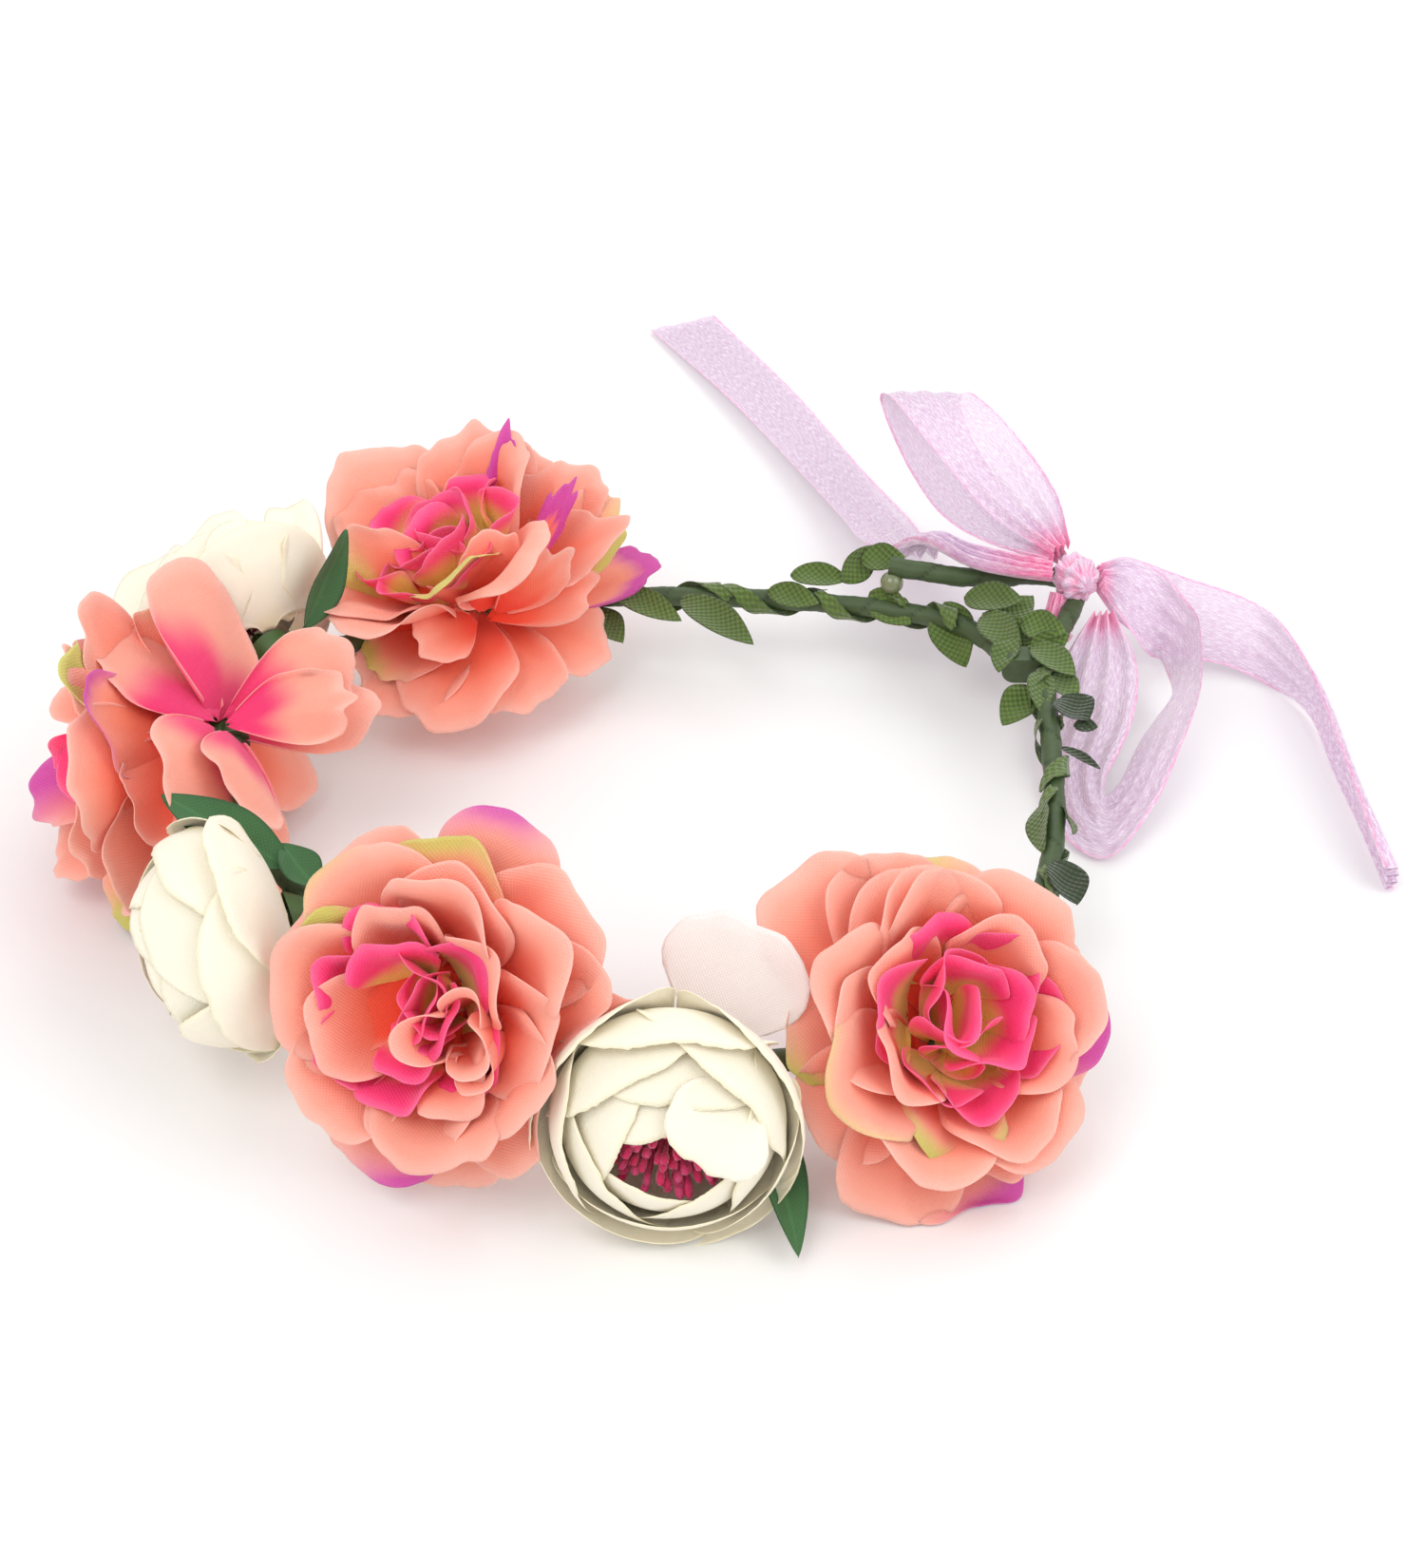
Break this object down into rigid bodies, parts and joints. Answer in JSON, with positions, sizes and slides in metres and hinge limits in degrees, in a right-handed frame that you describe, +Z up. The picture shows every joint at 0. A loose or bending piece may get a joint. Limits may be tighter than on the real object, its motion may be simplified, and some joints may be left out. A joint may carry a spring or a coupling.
{
  "type": "flower crown",
  "caption": "Wire flower crown with cloth peonies and ranunculus on a taped band, leaf garland, and an organza bow tied through an eye.",
  "frame": {"origin": "middle of the head opening, at the mean height of the wire band", "axes": "+Z up, out of the head when worn; -Y towards the flowers at the front; +X towards the side with the bow"},
  "size_m": [0.3065, 0.3991, 0.0775],
  "materials": {
    "coral_cloth": "stiffened woven petal cloth, coral with orange roots and pale edges",
    "heart_cloth": "stiffened woven petal cloth, hot pink with yellow-green roots",
    "cream_cloth": "stiffened woven petal cloth, cream with warm edges",
    "blush_cloth": "stiffened woven petal cloth, pale blush",
    "stamen_plastic": "magenta flocked stamens",
    "calyx_plastic": "moulded green calyx and peg",
    "steel_wire": "annealed steel florist wire",
    "florist_tape": "waxed crepe paper tape, dark green, spiral wound",
    "leaf_satin": "olive green satin leaf ribbon",
    "leaf_cloth": "dark green printed cloth leaves",
    "organza": "pale pink shimmering organza, see-through",
    "clear_glue": "clear hot-melt glue"
  },
  "bodies": {
    "crown": {"coral_back_calyx": "calyx_plastic", "coral_back_outer_petals": "coral_cloth", "coral_back_middle_petals": "coral_cloth", "coral_back_inner_petals": "coral_cloth", "coral_back_heart": "heart_cloth", "coral_left_calyx": "calyx_plastic", "coral_left_outer_petals": "coral_cloth", "coral_left_middle_petals": "coral_cloth", "coral_left_inner_petals": "coral_cloth", "coral_left_heart": "heart_cloth", "coral_front_left_calyx": "calyx_plastic", "coral_front_left_outer_petals": "coral_cloth", "coral_front_left_middle_petals": "coral_cloth", "coral_front_left_inner_petals": "coral_cloth", "coral_front_left_heart": "heart_cloth", "coral_front_right_calyx": "calyx_plastic", "coral_front_right_outer_petals": "coral_cloth", "coral_front_right_middle_petals": "coral_cloth", "coral_front_right_inner_petals": "coral_cloth", "coral_front_right_heart": "heart_cloth", "cream_back_left_calyx": "calyx_plastic", "cream_back_left_outer_petals": "cream_cloth", "cream_back_left_inner_petals": "cream_cloth", "cream_back_left_stamens": "stamen_plastic", "cream_left_front_calyx": "calyx_plastic", "cream_left_front_outer_petals": "cream_cloth", "cream_left_front_inner_petals": "cream_cloth", "cream_left_front_stamens": "stamen_plastic", "cream_front_calyx": "calyx_plastic", "cream_front_outer_petals": "cream_cloth", "cream_front_inner_petals": "cream_cloth", "cream_front_stamens": "stamen_plastic", "ring_wire": "steel_wire", "ring_tape": "florist_tape", "eye_tape": "florist_tape", "stem_binding_tape": "florist_tape", "tie_binding": "florist_tape", "glue_blob": "clear_glue", "garland_wraps": "leaf_satin", "garland_leaves_back": "leaf_satin", "garland_leaves_eye": "leaf_satin", "garland_leaves_right": "leaf_satin", "flower_leaves": "leaf_cloth", "loose_petal": "blush_cloth", "ribbon_knot": "organza", "ribbon_strap": "organza", "ribbon_throat": "organza"},
    "upper_loop": {"bow_loop_upper": "organza"},
    "lower_loop": {"bow_loop_lower": "organza"},
    "left_tail": {"ribbon_tail_left": "organza"},
    "right_tail": {"ribbon_tail_right": "organza"}
  },
  "joints": [
    {"name": "upper_loop_flop", "type": "hinge", "parent": "crown", "child": "upper_loop", "pos_m": [0.1084, 0.0838, 0.006], "axis": [0.9191, 0.394, 0], "range_deg": [-3, 70]},
    {"name": "lower_loop_flop", "type": "hinge", "parent": "crown", "child": "lower_loop", "pos_m": [0.1084, 0.0838, 0.006], "axis": [-0.995, -0.0995, 0], "range_deg": [-30, 5]},
    {"name": "left_tail_swing", "type": "hinge", "parent": "crown", "child": "left_tail", "pos_m": [0.0688, 0.1058, -0.0009], "axis": [0.9912, 0.0354, -0.1275], "range_deg": [-70, 12]},
    {"name": "right_tail_swing", "type": "hinge", "parent": "crown", "child": "right_tail", "pos_m": [0.1084, 0.0838, 0.006], "axis": [-0.8, -0.6, 0], "range_deg": [-60, 5]}
  ]
}
